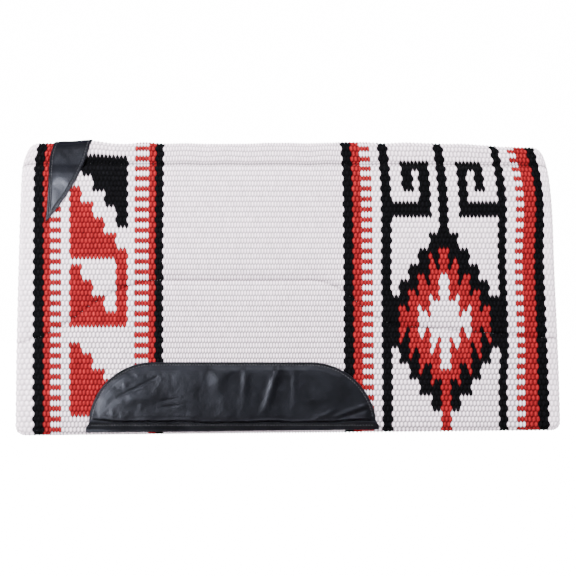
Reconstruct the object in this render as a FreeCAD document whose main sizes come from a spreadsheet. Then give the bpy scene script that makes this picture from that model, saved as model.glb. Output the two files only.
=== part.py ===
"""Western saddle pad: a shaped wool pad folded over along its spine, standing as a narrow tent.

X runs along the spine with the horse's front at -X, the near (left) side faces -Y, and +Z is up.
The origin is the middle of the footprint. Millimetres.

Each side hangs from a hinge line that lies on the cover's outer surface beside the fold. A flap is
drawn in its own frame: the origin on its hinge line, +Z up the flap, and Y across its thickness.
The fold (crown) is drawn around the axis of its arc.
"""
import FreeCAD, Part
import math
import os
import Sketcher
from FreeCAD import Placement, Rotation, Vector

SIZES = [
    # Length along the spine, ahead of and behind the middle of the pad
    ("front_top", 424.0),
    ("rear_top", 413.0),
    ("end_hem", 437.0),
    ("corner_radius", 18.0),
    # Fold and flaps; drops are measured down a flap from its hinge line
    ("fold_radius", 14.0),
    ("fold_half_angle", 50.0),
    ("fold_gap_angle", 15.0),
    ("flap_tilt", 8.0),
    ("flap_drop", 470.0),
    ("seam_drop", 26.0),
    ("swell_length", 25.0),
    ("swell_outward", 6.0),
    ("swell_inward", 3.0),
    # Layers
    ("cover_thickness", 5.0),
    ("lining_thickness", 3.0),
    ("ply_gap", 0.1),
    ("hem_height", 7.0),
    ("insert_margin", 12.0),
    ("contour_margin", 4.0),
    # Contour seam: level in the middle, an S curve down to each end
    ("contour_middle_drop", 218.0),
    ("contour_front_start", 200.0),
    ("contour_front_end", 412.0),
    ("contour_front_drop", 326.0),
    ("contour_rear_start", 35.0),
    ("contour_rear_end", 190.0),
    ("contour_rear_drop", 292.0),
    ("contour_tail_end", 401.0),
    ("contour_tail_drop", 314.0),
    # Wear leather on the lower middle of each flap
    ("wear_front", 328.0),
    ("wear_rear", 144.0),
    ("wear_top_drop", 352.0),
    ("wear_radius", 104.0),
    ("wear_hem_margin", 7.0),
    # Withers leather over the fold near the front
    ("withers_front", 377.0),
    ("withers_rear", 316.0),
    ("withers_tip_front", 392.0),
    ("withers_tip_rear", 386.0),
    ("withers_tip_drop", 123.0),
    ("withers_tip_height", 5.0),
    ("withers_edge_radius", 240.0),
    ("withers_tip_radius", 5.0),
    ("leather_thickness", 1.8),
    # Stitches
    ("stitch_pitch", 7.0),
    ("stitch_length", 4.8),
    ("stitch_diameter", 1.3),
    ("stitch_lift", 0.5),
    ("stitch_inset", 5.0),
    ("end_inset", 6.0),
]

# Room around a trimmed sheet, well outside the pad
TRIM_HALF_LENGTH = 500.0
TRIM_TOP = 60.0
TRIM_BOTTOM = -540.0

NEAR = 1
OFF = -1
SIDE_NAMES = {NEAR: "near", OFF: "off"}

doc = FreeCAD.newDocument("SaddlePad")
sheet = doc.addObject("Spreadsheet::Sheet", "Sizes")
nodes = []


def fill_sheet():
    """Write each driving dimension with its alias."""
    for row, (name, number) in enumerate(SIZES, start=1):
        sheet.set(f"A{row}", name)
        sheet.set(f"B{row}", str(number))
        sheet.setAlias(f"B{row}", name)
    doc.recompute()


def size(name):
    """Return one driving dimension as a number."""
    return float(sheet.get(name))


def number(expression):
    """Return the number that an expression on the sheet gives."""
    return float(sheet.evalExpression(expression))


# Expressions that several pieces share. A flap's section is drawn with Y inward.
TILT = "Sizes.flap_tilt * 1deg"
ARC = "Sizes.fold_half_angle * 1deg"
TURN = "(90 - Sizes.flap_tilt - Sizes.fold_half_angle) * 1deg"
GAP = "Sizes.fold_gap_angle * 1deg"
AXIS_IN = f"(Sizes.fold_radius * cos({TURN}))"
AXIS_DOWN = f"(-Sizes.fold_radius * sin({TURN}))"
LEG_OUTER = f"({AXIS_IN} - Sizes.fold_radius)"
FLAP_OUTER = f"({LEG_OUTER} - Sizes.swell_outward)"
COVER_INNER = f"({FLAP_OUTER} + Sizes.cover_thickness)"
LEG_INNER = f"({LEG_OUTER} + Sizes.cover_thickness + Sizes.ply_gap + Sizes.lining_thickness)"
FLAP_INNER = f"({LEG_INNER} + Sizes.swell_inward)"
SEAM_Z = "(-Sizes.seam_drop)"
SWELL_Z = "(-Sizes.seam_drop - Sizes.swell_length)"
HEM_Z = "(-Sizes.flap_drop)"
HEM_INNER_Z = f"({HEM_Z} + ({FLAP_INNER} - {FLAP_OUTER}) * tan({TILT}))"
HEM_TOP_Z = f"({HEM_INNER_Z} + Sizes.hem_height)"
HINGE_Y = f"(Sizes.fold_radius * sin({ARC}))"
HINGE_Z = f"(Sizes.flap_drop * cos({TILT}) + {FLAP_OUTER} * sin({TILT}))"
AXIS_Z = f"({HINGE_Z} - Sizes.fold_radius * cos({ARC}))"


def line_to(x, y):
    """A corner reached from the one before along a straight line."""
    return (x, y, None, 0)


def arc_to(x, y, radius, turn):
    """A corner reached along an arc; turn is 1 for anticlockwise and -1 for clockwise."""
    return (x, y, radius, turn)


def arc_curve(start, end, radius, turn):
    """The shorter arc of a circle from start to end."""
    chord = end - start
    middle = (start + end) * 0.5
    rise = math.sqrt(max(radius ** 2 - (chord.Length / 2) ** 2, 0.0))
    centre = middle + Vector(-chord.y, chord.x, 0).normalize() * rise * turn
    first = start - centre
    last = end - centre
    if turn < 0:
        first, last = last, first
    circle = Part.Circle(centre, Vector(0, 0, 1), radius)
    return Part.ArcOfCircle(circle, math.atan2(first.y, first.x), math.atan2(last.y, last.x))


def draw_loop(sketch, corners, prefix):
    """Draw one closed loop, fixing each corner and radius with an expression."""
    places = [Vector(number(x), number(y), 0) for x, y, radius, turn in corners]
    base = sketch.GeometryCount
    count = len(corners)
    for i in range(count):
        radius, turn = corners[i][2], corners[i][3]
        start, end = places[i - 1], places[i]
        if radius is None:
            sketch.addGeometry(Part.LineSegment(start, end), False)
        else:
            sketch.addGeometry(arc_curve(start, end, number(radius), turn), False)
    for i in range(count):
        x, y, radius, turn = corners[i]
        last_point = 1 if turn < 0 else 2
        following = (i + 1) % count
        first_point = 2 if corners[following][3] < 0 else 1
        joint = Sketcher.Constraint("Coincident", base + i, last_point, base + following, first_point)
        sketch.addConstraint(joint)
        bind(sketch, Sketcher.Constraint("DistanceX", -1, 1, base + i, last_point, places[i].x),
             f"{prefix}_x{i}", x)
        bind(sketch, Sketcher.Constraint("DistanceY", -1, 1, base + i, last_point, places[i].y),
             f"{prefix}_y{i}", y)
        if radius is not None:
            bind(sketch, Sketcher.Constraint("Radius", base + i, number(radius)), f"{prefix}_r{i}", radius)


def bind(sketch, constraint, name, expression):
    """Add a named constraint whose value follows an expression."""
    index = sketch.addConstraint(constraint)
    sketch.renameConstraint(index, name)
    sketch.setExpression(f"Constraints.{name}", expression)


def add_sketch(body, role, loops, offset="0"):
    """Sketch loops on one of the body's own origin planes, moved along its normal."""
    plane = [item for item in body.Origin.OriginFeatures if item.Role == role][0]
    sketch = body.newObject("Sketcher::SketchObject", body.Label + "_sketch")
    sketch.AttachmentSupport = [(plane, "")]
    sketch.MapMode = "FlatFace"
    sketch.setExpression("AttachmentOffset.Base.z", offset)
    for i, corners in enumerate(loops):
        draw_loop(sketch, corners, f"loop{i}")
    doc.recompute()
    return sketch


def add_pad(body, sketch, length):
    """Pad a sketch along its normal."""
    pad = body.newObject("PartDesign::Pad", body.Label + "_pad")
    pad.Profile = sketch
    pad.setExpression("Length", length)
    doc.recompute()
    return pad


def trim(body, outline):
    """Cut away everything outside an outline drawn across the flap."""
    frame = [
        line_to(str(-TRIM_HALF_LENGTH), str(TRIM_TOP)),
        line_to(str(-TRIM_HALF_LENGTH), str(TRIM_BOTTOM)),
        line_to(str(TRIM_HALF_LENGTH), str(TRIM_BOTTOM)),
        line_to(str(TRIM_HALF_LENGTH), str(TRIM_TOP)),
    ]
    sketch = add_sketch(body, "XZ_Plane", [frame, outline])
    pocket = body.newObject("PartDesign::Pocket", body.Label + "_trim")
    pocket.Profile = sketch
    pocket.SideType = "Symmetric"
    pocket.Type = "ThroughAll"
    doc.recompute()


def new_body(label):
    """A body for one piece, listed for export."""
    body = doc.addObject("PartDesign::Body", label)
    body.Label = label
    nodes.append(body)
    return body


def place_on_flap(item, side):
    """Hang a piece, drawn in the flap's frame, from its hinge line at the flap's tilt."""
    item.Placement = Placement(Vector(), Rotation(Vector(1, 0, 0), 1))
    item.setExpression("Placement.Base.y", f"{-side} * {HINGE_Y}")
    item.setExpression("Placement.Base.z", HINGE_Z)
    item.setExpression("Placement.Rotation.Angle", f"{-side} * {TILT}")


def place_on_crown(item):
    """Put a piece, drawn around the fold's axis, on that axis."""
    item.setExpression("Placement.Base.z", AXIS_Z)


def sided(corners, side):
    """Mirror a flap's section for the off side."""
    return [(f"{side} * ({y})", z, radius, side * turn) for y, z, radius, turn in corners]


def arc_point(radius, angle):
    """A corner on an arc around the fold's axis, in the near flap's frame."""
    y = f"{AXIS_IN} - ({radius}) * cos({angle})"
    z = f"{AXIS_DOWN} + ({radius}) * sin({angle})"
    return y, z


def layer_section(outer_offset, inner_offset, outer_swell, inner_swell):
    """The upper part of one layer: fold arc, leg and swell, as two lists of corners.

    Offsets run inward from the cover's outer surface. The first list goes down the outer face
    and the second comes back up the inner face and round to the start.
    """
    start_angle = f"({TURN} - {GAP})"
    outer_radius = f"(Sizes.fold_radius - ({outer_offset}))"
    inner_radius = f"(Sizes.fold_radius - ({inner_offset}))"
    outer_leg = f"({LEG_OUTER} + {outer_offset})"
    inner_leg = f"({LEG_OUTER} + {inner_offset})"
    down = [
        line_to(*arc_point(outer_radius, start_angle)),
        arc_to(outer_leg, AXIS_DOWN, outer_radius, 1),
        line_to(outer_leg, SEAM_Z),
        line_to(f"({outer_leg} + {outer_swell})", SWELL_Z),
    ]
    up = [
        line_to(f"({inner_leg} + {inner_swell})", SWELL_Z),
        line_to(inner_leg, SEAM_Z),
        line_to(inner_leg, AXIS_DOWN),
        arc_to(*arc_point(inner_radius, start_angle), inner_radius, -1),
    ]
    return down, up


def pad_outline():
    """The flap's outline: the ends lean outward to the hem, and the hem's corners are round."""
    top = "Sizes.fold_radius"
    knee = f"({HEM_Z} + Sizes.corner_radius)"
    return [
        line_to("-Sizes.front_top", top),
        line_to("-Sizes.end_hem", knee),
        arc_to("-Sizes.end_hem + Sizes.corner_radius", HEM_Z, "Sizes.corner_radius", 1),
        line_to("Sizes.end_hem - Sizes.corner_radius", HEM_Z),
        arc_to("Sizes.end_hem", knee, "Sizes.corner_radius", 1),
        line_to("Sizes.rear_top", top),
    ]


def section_body(label, side, section, outline):
    """A sheet that follows the flap's section all along and is trimmed to an outline."""
    body = new_body(label)
    sketch = add_sketch(body, "YZ_Plane", [sided(section, side)], "-Sizes.end_hem")
    add_pad(body, sketch, "2 * Sizes.end_hem")
    trim(body, outline)
    place_on_flap(body, side)


def slab_body(label, side, outline, outer, inner):
    """A flat slab of an outline between two depths of the flap."""
    body = new_body(label)
    highest = inner if side == NEAR else f"-({outer})"
    sketch = add_sketch(body, "XZ_Plane", [outline], f"-({highest})")
    add_pad(body, sketch, f"({inner}) - ({outer})")
    place_on_flap(body, side)


def crown_body(label, outer_radius, inner_radius, start, length):
    """One layer of the fold, between the two hinge lines."""
    def rim(radius, sign):
        return f"{sign} * ({radius}) * sin({ARC})", f"({radius}) * cos({ARC})"

    section = [
        line_to(*rim(inner_radius, 1)),
        line_to(*rim(outer_radius, 1)),
        arc_to(*rim(outer_radius, -1), outer_radius, 1),
        line_to(*rim(inner_radius, -1)),
    ]
    section[0] = arc_to(section[0][0], section[0][1], inner_radius, -1)
    body = new_body(label)
    sketch = add_sketch(body, "YZ_Plane", [section], start)
    add_pad(body, sketch, length)
    place_on_crown(body)


def build_cover(side):
    """Woven cover: over the flap's outer face and turned under at the hem."""
    down, up = layer_section("0", "Sizes.cover_thickness", "(-Sizes.swell_outward)",
                             "(-Sizes.swell_outward)")
    hem = [
        line_to(FLAP_OUTER, HEM_Z),
        line_to(FLAP_INNER, HEM_INNER_Z),
        line_to(FLAP_INNER, HEM_TOP_Z),
        line_to(COVER_INNER, HEM_TOP_Z),
    ]
    section_body(f"{SIDE_NAMES[side]}_cover", side, down + hem + up, pad_outline())


def build_lining(side):
    """Felt lining: the flap's flat underside, from the fold to the turned hem."""
    outer = "(Sizes.cover_thickness + Sizes.ply_gap)"
    inner = "(Sizes.cover_thickness + Sizes.ply_gap + Sizes.lining_thickness)"
    down, up = layer_section(outer, inner, "Sizes.swell_inward", "Sizes.swell_inward")
    end_z = f"({HEM_TOP_Z} + Sizes.ply_gap)"
    hem = [
        line_to(f"({FLAP_INNER} - Sizes.lining_thickness)", end_z),
        line_to(FLAP_INNER, end_z),
    ]
    section_body(f"{SIDE_NAMES[side]}_lining", side, down + hem + up, pad_outline())


def s_curve(x_from, z_from, x_to, z_to, first_turn):
    """Two equal arcs, level at both ends, that meet half-way."""
    wide = f"(({x_to}) - ({x_from}))"
    high = f"(({z_to}) - ({z_from}))"
    radius = f"(({wide}^2 + {high}^2) / (4 * abs({high})))"
    x_middle = f"(({x_from}) + {wide} / 2)"
    z_middle = f"(({z_from}) + {high} / 2)"
    return [arc_to(x_middle, z_middle, radius, first_turn), arc_to(x_to, z_to, radius, -first_turn)]


def contour_corners(shift):
    """The contour seam from its rear end to its front end, moved down by shift."""
    middle = f"(-Sizes.contour_middle_drop - ({shift}))"
    rear = f"(-Sizes.contour_rear_drop - ({shift}))"
    tail = f"(-Sizes.contour_tail_drop - ({shift}))"
    front = f"(-Sizes.contour_front_drop - ({shift}))"
    rear_end = "Sizes.contour_rear_end"
    rear_start = "Sizes.contour_rear_start"
    front_start = "-Sizes.contour_front_start"
    corners = [line_to("Sizes.contour_tail_end", tail), line_to(rear_end, rear)]
    corners += s_curve(rear_end, rear, rear_start, middle, -1)
    corners.append(line_to(front_start, middle))
    corners += s_curve(front_start, middle, "-Sizes.contour_front_end", front, 1)
    return corners


def build_upper_insert(side):
    """Thick felt between the spine seam and the contour seam."""
    top = f"({SWELL_Z} - Sizes.ply_gap)"
    outline = contour_corners("-Sizes.contour_margin")
    outline += [line_to("-Sizes.contour_front_end", top), line_to("Sizes.contour_tail_end", top)]
    insert_body("upper", side, outline)


def build_lower_insert(side):
    """Felt between the contour seam and the turned hem."""
    front_x = "(-Sizes.end_hem + Sizes.insert_margin)"
    rear_x = "(Sizes.end_hem - Sizes.insert_margin)"
    bottom = f"({HEM_TOP_Z} + Sizes.ply_gap)"
    outline = contour_corners("Sizes.contour_margin")
    outline += [
        line_to(front_x, outline[-1][1]),
        line_to(front_x, bottom),
        line_to(rear_x, bottom),
        line_to(rear_x, outline[0][1]),
    ]
    insert_body("lower", side, outline)


def insert_body(level, side, outline):
    """A felt insert that fills the room between the cover and the lining."""
    outer = f"({COVER_INNER} + Sizes.ply_gap)"
    inner = f"({FLAP_INNER} - Sizes.lining_thickness - Sizes.ply_gap)"
    slab_body(f"{SIDE_NAMES[side]}_{level}_insert", side, outline, outer, inner)


def wear_outline(inset):
    """The wear leather's outline, from the hem's front corner, moved inward by inset."""
    front_x = f"(-Sizes.wear_front + ({inset}))"
    rear_x = f"(Sizes.wear_rear - ({inset}))"
    bottom = f"({HEM_Z} + Sizes.wear_hem_margin + ({inset}))"
    top = f"(-Sizes.wear_top_drop - ({inset}))"
    radius = f"(Sizes.wear_radius - ({inset}))"
    shoulder = f"({top} - {radius})"
    return [
        line_to(front_x, bottom),
        line_to(rear_x, bottom),
        line_to(rear_x, shoulder),
        arc_to(f"({rear_x} - {radius})", top, radius, 1),
        line_to(f"({front_x} + {radius})", top),
        arc_to(front_x, shoulder, radius, 1),
    ]


def build_wear_leather(side):
    """Leather sewn over the lower middle, where stirrup and cinch rub."""
    outer = f"({FLAP_OUTER} - Sizes.ply_gap - Sizes.leather_thickness)"
    inner = f"({FLAP_OUTER} - Sizes.ply_gap)"
    slab_body(f"{SIDE_NAMES[side]}_wear_leather", side, wear_outline("0"), outer, inner)


def withers_outline(inset):
    """The withers leather's outline below the fold: a long tongue with a bowed rear edge."""
    top = "Sizes.fold_radius"
    tip = f"(-Sizes.withers_tip_drop + ({inset}))"
    return [
        line_to(f"(-Sizes.withers_front + ({inset}))", top),
        line_to(f"(-Sizes.withers_tip_front + ({inset}))", f"({tip} + Sizes.withers_tip_height)"),
        arc_to(f"(-Sizes.withers_tip_rear + ({inset}) / 2)", tip, "Sizes.withers_tip_radius", 1),
        arc_to(f"(-Sizes.withers_rear - ({inset}))", top, "Sizes.withers_edge_radius", 1),
    ]


def build_withers_leather(side):
    """The withers leather's wing, lying on the cover."""
    down, up = layer_section("(-Sizes.ply_gap - Sizes.leather_thickness)", "(-Sizes.ply_gap)",
                             "(-Sizes.swell_outward)", "(-Sizes.swell_outward)")
    end_z = "(-Sizes.withers_tip_drop - Sizes.corner_radius)"
    end = [
        line_to(f"({FLAP_OUTER} - Sizes.ply_gap - Sizes.leather_thickness)", end_z),
        line_to(f"({FLAP_OUTER} - Sizes.ply_gap)", end_z),
    ]
    label = f"{SIDE_NAMES[side]}_withers_leather"
    section_body(label, side, down + end + up, withers_outline("0"))


def build_crown():
    """The fold between the hinge lines: cover, lining and withers leather."""
    cover_inner = "(Sizes.fold_radius - Sizes.cover_thickness)"
    lining_outer = f"({cover_inner} - Sizes.ply_gap)"
    lining_inner = f"({lining_outer} - Sizes.lining_thickness)"
    leather_inner = "(Sizes.fold_radius + Sizes.ply_gap)"
    leather_outer = f"({leather_inner} + Sizes.leather_thickness)"
    whole = "Sizes.front_top + Sizes.rear_top"
    crown_body("crown_cover", "Sizes.fold_radius", cover_inner, "-Sizes.front_top", whole)
    crown_body("crown_lining", lining_outer, lining_inner, "-Sizes.front_top", whole)
    crown_body("crown_withers_leather", leather_outer, leather_inner, "-Sizes.withers_front",
               "Sizes.withers_front - Sizes.withers_rear")


def stitch(middle, direction):
    """One stitch: a short round bar along the seam."""
    length = size("stitch_length")
    start = middle - direction * (length / 2)
    return Part.makeCylinder(size("stitch_diameter") / 2, length, start, direction)


def stations(corners):
    """Evenly spaced points along an open run of corners."""
    places = [Vector(number(x), number(z), 0) for x, z, radius, turn in corners]
    edges = []
    for i in range(1, len(corners)):
        radius, turn = corners[i][2], corners[i][3]
        if radius is None:
            edges.append(Part.makeLine(places[i - 1], places[i]))
        else:
            edges.append(arc_curve(places[i - 1], places[i], number(radius), turn).toShape())
    wire = Part.Wire(edges)
    count = int(wire.Length / size("stitch_pitch"))
    return wire.discretize(Number=count + 1)


def cover_face(z):
    """Y of the cover's outer face at a height in the near flap's frame."""
    leg = number(LEG_OUTER)
    share = (-size("seam_drop") - z) / size("swell_length")
    return leg - size("swell_outward") * min(max(share, 0.0), 1.0)


def stitch_row(label, side, runs, stand_off):
    """Separate stitches along runs drawn across the flap, standing off its outer face."""
    solids = []
    lift = stand_off + size("stitch_lift") + size("stitch_diameter") / 2
    for run in runs:
        points = [Vector(p.x, side * (cover_face(p.y) - lift), p.y) for p in stations(run)]
        for start, end in zip(points, points[1:]):
            solids.append(stitch((start + end) * 0.5, (end - start).normalize()))
    feature = add_stitches(label, solids)
    place_on_flap(feature, side)


def add_stitches(label, solids):
    """One node that holds a row of separate stitches."""
    feature = doc.addObject("Part::Feature", label)
    feature.Label = label
    feature.Shape = Part.makeCompound(solids)
    nodes.append(feature)
    return feature


def build_stitching(side):
    """The rows of stitches on one flap."""
    name = SIDE_NAMES[side]
    front_x = "(-Sizes.front_top + Sizes.end_inset)"
    rear_x = "(Sizes.rear_top - Sizes.end_inset)"
    spine_run = [line_to(rear_x, SEAM_Z), line_to(front_x, SEAM_Z)]
    past_leather = "(-Sizes.withers_rear + Sizes.stitch_inset)"
    before_leather = "(-Sizes.withers_tip_front - Sizes.stitch_inset)"
    spine_runs = [
        [spine_run[0], line_to(past_leather, SEAM_Z)],
        [line_to(before_leather, SEAM_Z), spine_run[1]],
    ]
    stitch_row(f"{name}_spine_stitching", side, spine_runs, 0.0)

    contour_run = contour_corners("0")
    stitch_row(f"{name}_contour_stitching", side, [contour_run], 0.0)

    leather = size("ply_gap") + size("leather_thickness")
    wear = wear_outline("Sizes.stitch_inset")
    stitch_row(f"{name}_wear_stitching", side, [wear + [line_to(wear[0][0], wear[0][1])]], leather)

    withers = withers_outline("Sizes.stitch_inset")
    stitch_top = f"({AXIS_DOWN} - Sizes.stitch_inset)"
    front_top = line_to(withers[0][0], stitch_top)
    rear_top = arc_to("(-Sizes.withers_rear - 2 * Sizes.stitch_inset)", stitch_top, withers[3][2], 1)
    stitch_row(f"{name}_withers_stitching", side, [[front_top, withers[1], withers[2], rear_top]], leather)


def build_crown_stitching():
    """Stitches across the fold along the front and rear edges of the withers leather."""
    leather = size("ply_gap") + size("leather_thickness")
    radius = size("fold_radius") + leather + size("stitch_lift") + size("stitch_diameter") / 2
    reach = math.radians(size("fold_half_angle"))
    count = int(2 * reach * radius / size("stitch_pitch"))
    solids = []
    for x in (-size("withers_front") + size("stitch_inset"), -size("withers_rear") - size("stitch_inset")):
        for i in range(count):
            angle = reach * (2 * (i + 0.5) / count - 1)
            middle = Vector(x, radius * math.sin(angle), radius * math.cos(angle))
            direction = Vector(0, math.cos(angle), -math.sin(angle))
            solids.append(stitch(middle, direction))
    place_on_crown(add_stitches("crown_withers_stitching", solids))


def check_and_export():
    """Stop on any failed object or bad shape, then write one STEP file for each piece."""
    doc.recompute()
    for item in doc.Objects:
        if "Invalid" in item.State or "Error" in item.State:
            raise RuntimeError(f"{item.Label} failed: {item.State}")
    for node in nodes:
        if node.Shape.isNull() or not node.Shape.isValid() or not node.Shape.Solids:
            raise RuntimeError(f"{node.Label} has a bad shape")
    os.makedirs("parts", exist_ok=True)
    for node in nodes:
        node.Shape.exportStep(os.path.join("parts", node.Label + ".step"))
        box = node.Shape.BoundBox
        print(f"{node.Label}: {len(node.Shape.Solids)} solids, {box.XLength:.1f} x {box.YLength:.1f} "
              f"x {box.ZLength:.1f}, z {box.ZMin:.2f} to {box.ZMax:.2f}")


fill_sheet()
build_crown()
build_crown_stitching()
for flap_side in (NEAR, OFF):
    build_cover(flap_side)
    build_lining(flap_side)
    build_upper_insert(flap_side)
    build_lower_insert(flap_side)
    build_wear_leather(flap_side)
    build_withers_leather(flap_side)
    build_stitching(flap_side)
check_and_export()
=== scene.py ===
"""Looks for the folded saddle pad: woven cover, lining, leathers, stitching and felt.

Sizes are in millimetres; meshes are written in metres. On the pad, x runs along the spine from front to
rear, s is the depth down the cloth from the top of the fold, and an offset stands outward from the plain
face of the fold.
"""
import math

import bpy
import numpy as np
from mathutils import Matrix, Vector


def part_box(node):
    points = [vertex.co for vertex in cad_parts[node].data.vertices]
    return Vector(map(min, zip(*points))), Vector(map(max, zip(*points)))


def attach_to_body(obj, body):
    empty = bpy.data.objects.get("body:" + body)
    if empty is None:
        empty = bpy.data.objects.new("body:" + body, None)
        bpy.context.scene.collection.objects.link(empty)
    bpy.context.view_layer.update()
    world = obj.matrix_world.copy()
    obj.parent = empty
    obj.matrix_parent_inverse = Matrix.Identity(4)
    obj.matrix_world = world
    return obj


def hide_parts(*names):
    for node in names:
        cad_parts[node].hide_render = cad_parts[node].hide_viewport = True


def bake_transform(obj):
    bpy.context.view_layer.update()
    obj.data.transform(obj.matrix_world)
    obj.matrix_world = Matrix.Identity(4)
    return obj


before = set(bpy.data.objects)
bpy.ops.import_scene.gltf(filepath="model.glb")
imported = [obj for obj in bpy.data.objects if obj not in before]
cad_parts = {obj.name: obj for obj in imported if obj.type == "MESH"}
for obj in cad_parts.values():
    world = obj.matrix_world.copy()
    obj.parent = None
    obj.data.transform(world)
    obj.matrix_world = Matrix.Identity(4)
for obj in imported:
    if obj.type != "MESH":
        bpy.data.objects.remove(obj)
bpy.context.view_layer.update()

MM = 0.001
SEED = 7
NEAR = 1
OFF = -1
BODIES = {NEAR: "near_flap", OFF: "off_flap"}
SIDE_NAMES = {NEAR: "near", OFF: "off"}

# Stance and outline
FOLD_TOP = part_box("crown_cover")[1].z / MM
FOLD_RADIUS = 14
TILT = math.radians(8)
ARC_END = math.radians(82)
HALF_LENGTH = 432
SEAM_DEPTH = 42.6
HEM_DEPTH = 484.5
HEM_RISE = 8.5
CORNER = 18.5
EDGE_REACH = 8.5
TURN_UNDER = 3
END_ARC = EDGE_REACH * math.pi / 2
CLOTH_HALF = HALF_LENGTH + END_ARC - EDGE_REACH

# How the weave strays along the spine: length at each end, and the local pulls
FRONT_SCALE = 1.006
FRONT_NARROWING = 0.014
REAR_SCALE = 1.011
REAR_LEAN = 0.045
FRONT_STRIPE = 405
FRONT_EDGE_IN = 8.4
FRONT_EDGE_OUT = 12.5
FOLD_PULL = 4.8
UPPER_PUSH = 3
LOWER_PULL = 5
CORNER_PULL = 6.5
REAR_PUSH = 6.5

# Contour seam: depth of its level part, and its drop towards each end
CONTOUR_LEVEL = 233
FRONT_DROP = 107
REAR_DROP = 75
REAR_SLOPE = 0.085

# How far the fold sinks
END_ROUND = 22
ROUND_SHARE = 0.75
REAR_ROLL = 6
LEATHER_RIDGE = 4
FOLD_WAVES = 0.9
SINK_REACH = 42

# Layers and relief of the flap, as offsets; each dip is a list of (depth, width)
SWELL = 6
SWELL_RUN = 9
PLY = 8.1
LINING_SWELL = 3
CONTOUR_DIPS = [(2.2, 5), (1.2, 2)]
SPINE_DIPS = [(1.4, 4.5), (0.7, 1.9)]
UPPER_CROWN = 1.6
LOWER_CROWN = 1.2
WIDE_WANDER = 0.7
FINE_WANDER = 0.5
YARN_TOP = 0.45
THREAD_SINK = 2.5

# Weave
RIB = 8.5
PICK_WIDE = 3.1
PICK_FINE = 2.33
PICK_CHECK = 2.5
FINE_FROM = -201.5
FINE_TO = 90
FLOAT_HEIGHT = 2.1
RIB_GROOVE = 0.3
UNDER_DIP = 0.5
EDGE_WAVE = 0.485
FLOAT_POWER = 0.6
CHECK_POWER = 0.17
RISE_POWER = 0.42
COLUMNS = 2
ROW_PLACES = np.array([0, 0.3, 0.5, 0.7])
HEM_FLATTENING = 0.55

# Stripes, as (colour, width) runs from the place where each run starts
STRIPE_RUNS = [
    (-HALF_LENGTH, [("white", 23.5), ("black", 14.5), ("red", 10.5), ("check", 18.5), ("white", 13.5)]),
    (-258.6, [("white", 13), ("check", 20), ("red", 12), ("black", 12)]),
    (90, [("black", 16.5), ("red", 12.8), ("check", 19.2), ("white", 13.8), ("black", 12.8)]),
    (338.9, [("black", 12.8), ("white", 14.5), ("check", 15.2), ("red", 16), ("black", 16),
             ("white", 18.5)]),
]

# Stepped figures in blocks: first and last block, upper rib and its step, lower rib and its step, colour
FIGURES_FROM = -352
FIGURES_TO = -258.6
FIGURE_BLOCK = 18.7
FIGURES = [
    (1, 4, 3.8, 0, 4.2, 3.25, "black"),
    (0, 3, 9.6, 2.9, 23, 0, "red"),
    (0, 3, 24.8, 2.97, 36.5, 0, "red"),
    (4, 4, 21.2, 0, 36.5, 0, "red"),
    (0, 4, 39.2, 2.6, 53, 0, "red"),
]

# Square hooks: x from and to, rib from and to
REAR_COLUMN_FROM = 164
REAR_COLUMN_TO = 339
KEY_BARS = [
    (164, 231.5, 12.2, 15.6),
    (213.5, 231.5, 4.4, 15.6),
    (184, 231.5, 4.4, 6.8),
    (184, 203.2, 4.4, 10.6),
    (278, 339, 12.4, 15.6),
    (278, 295, 4.6, 15.6),
    (278, 323, 4.6, 6.8),
    (306, 323, 4.6, 10.8),
]

# Stepped diamond: sizes along the spine in millimetres, and up and down in ribs
DIAMOND_X = 252
DIAMOND_RIB = 35.5
DIAMOND_STEM = 8.2
DIAMOND_BLOCK = 16.2
WHITE_STEM = 9
RED_STEM = 14.4
WHITE_SPIKES = {1: (3, 3), 2: (0.8, 2.7)}
RED_REACH = 13
BLACK_REACH = 19.5
RIBS_A_BLOCK = 3

# Wool colours, and the painted shade in the hollows between floats and along the seams
WOOL = {"white": (0.99, 0.85, 0.95), "red": (0.235, 0.0088, 0.0122), "black": (0.0022, 0.0022, 0.003)}
WHITE_LEVEL = 0.3
DYE_SPREAD = 0.1
WHITE_DYE_SHARE = 0.35
HOLLOW_SHADE_FALL = 1.4
WHITE_HOLLOW_SHADE = 0.66
LOW_HOLLOW_SHADE = 0.13
END_HOLLOW_SHADE = 0.25
DARK_HOLLOW_SHADE = 0.74
CONTOUR_SHADE = (0.45, 1.5)
SPINE_SHADE = (0.8, 2)

# Leathers
LEATHER = 1.8
SKIN_UNDER = 0.4
RIM = 1.4
STITCH_INSET = 4.8
WEAR_FRONT = -321.5
WEAR_REAR = 140
WEAR_TOP = 367.5
WEAR_BOTTOM = 480.8
WEAR_RADIUS = 104
WEAR_FLARE = 5
WEAR_RISE = 5
WEAR_GRID = (261, 95)
WEAR_NOISE = [(0.32, 3, 24), (0.16, 5, 10), (0.09, 7, 5)]
TUCK_DEPTH = 464
TUCK_ROLL = 5.2
HEM_BAND = 2.4
LOWER_ROW = 469.2
ARCH_ROW_END = 457.5
WITHERS_TIP = 139
WITHERS_FRONT = -381.5
WITHERS_REAR = -316
WITHERS_GRID = (41, 91)
WITHERS_NOISE = [(0.5, 21, 22), (0.15, 23, 9)]

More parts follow.
